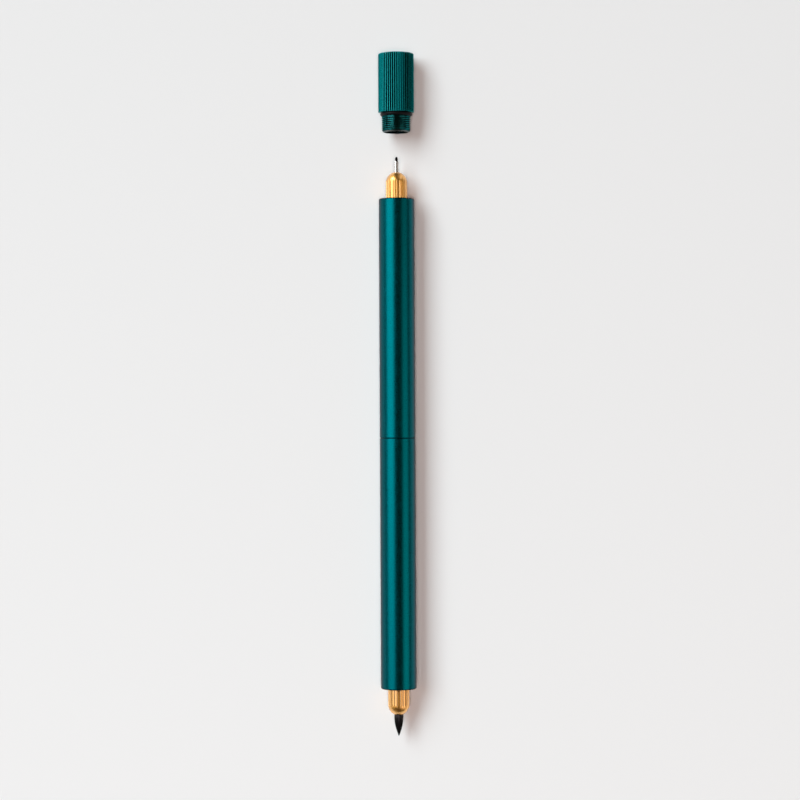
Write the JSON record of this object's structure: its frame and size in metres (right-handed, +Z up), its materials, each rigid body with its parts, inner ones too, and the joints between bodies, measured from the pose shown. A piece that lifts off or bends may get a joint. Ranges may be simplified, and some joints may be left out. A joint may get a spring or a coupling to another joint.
{
  "type": "dual-tip brush pen",
  "caption": "Slim round metal pen with a needle fineliner at one end, a pointed brush at the other, fluted brass noses, a two-piece screw barrel and a knurled screw cap with a seal ring.",
  "frame": {"origin": "on the surface that the pen lies on, under the middle of the overall length with the cap parked as in the picture", "axes": "+Y along the pen's axis from the brush to the fineliner and the cap, +Z up, +X to the right seen from above with the cap at the top"},
  "size_m": [0.01, 0.192, 0.01],
  "materials": {
    "teal_anodised": "satin anodised, deep emerald teal",
    "brass": "bright turned brass",
    "needle_steel": "polished needle tube",
    "black_rubber": "matt black",
    "black_fibre": "bonded fibre soaked with black ink",
    "natural_plastic": "moulded, uncoloured",
    "sleeve_film": "clear film",
    "reservoir_felt": "ink-soaked fibre"
  },
  "bodies": {
    "brush_half": {"brush_barrel": "teal_anodised", "barrel_joiner": "teal_anodised", "brush_reservoir": "reservoir_felt", "brush_reservoir_sleeve": "sleeve_film", "brush_reservoir_plug": "natural_plastic"},
    "fineliner_cartridge": {"fineliner_reservoir": "reservoir_felt", "fineliner_reservoir_sleeve": "sleeve_film", "fineliner_reservoir_plug": "natural_plastic"},
    "fineliner_half": {"fineliner_barrel": "teal_anodised"},
    "fineliner_nib_unit": {"fineliner_nib_holder": "natural_plastic", "fineliner_needle_tube": "needle_steel", "fineliner_tip": "black_fibre"},
    "fineliner_nose": {"fineliner_section": "brass"},
    "brush_nib_unit": {"brush_nib_holder": "natural_plastic", "brush_tip": "black_fibre"},
    "brush_nose": {"brush_section": "brass"},
    "cap_seal": {"cap_o_ring": "black_rubber"},
    "cap": {"cap_shell": "teal_anodised"}
  },
  "joints": [
    {"name": "barrel_pull", "type": "slide", "parent": "brush_half", "child": "fineliner_cartridge", "axis": [0, 1, 0], "range_m": [0, 0.006]},
    {"name": "barrel_turn", "type": "hinge", "parent": "fineliner_cartridge", "child": "fineliner_half", "pos_m": [0, -0.01208, 0.005], "axis": [0, 1, 0], "range_deg": [0, 2880.5]},
    {"name": "fineliner_nib_pull", "type": "slide", "parent": "fineliner_half", "child": "fineliner_nib_unit", "axis": [0, 1, 0], "range_m": [0, 0.0028]},
    {"name": "fineliner_section_turn", "type": "hinge", "parent": "fineliner_nib_unit", "child": "fineliner_nose", "pos_m": [0, 0.05523, 0.005], "axis": [0, 1, 0], "range_deg": [0, 2016.5]},
    {"name": "brush_nib_pull", "type": "slide", "parent": "brush_half", "child": "brush_nib_unit", "axis": [0, -1, 0], "range_m": [0, 0.0028]},
    {"name": "brush_section_turn", "type": "hinge", "parent": "brush_nib_unit", "child": "brush_nose", "pos_m": [0, -0.08257, 0.005], "axis": [0, -1, 0], "range_deg": [0, 2016.5]},
    {"name": "cap_pull", "type": "slide", "parent": "fineliner_half", "child": "cap_seal", "axis": [0, 1, 0], "range_m": [-0.02425, 0]},
    {"name": "cap_turn", "type": "hinge", "parent": "cap_seal", "child": "cap", "pos_m": [0, 0.07952, 0.005], "axis": [0, 1, 0], "continuous": true}
  ],
  "couplings": [
    {"joint": "barrel_turn", "follows": "barrel_pull", "rad_per_m": 8377.6},
    {"joint": "fineliner_section_turn", "follows": "fineliner_nib_pull", "rad_per_m": 12566},
    {"joint": "brush_section_turn", "follows": "brush_nib_pull", "rad_per_m": 12566}
  ]
}
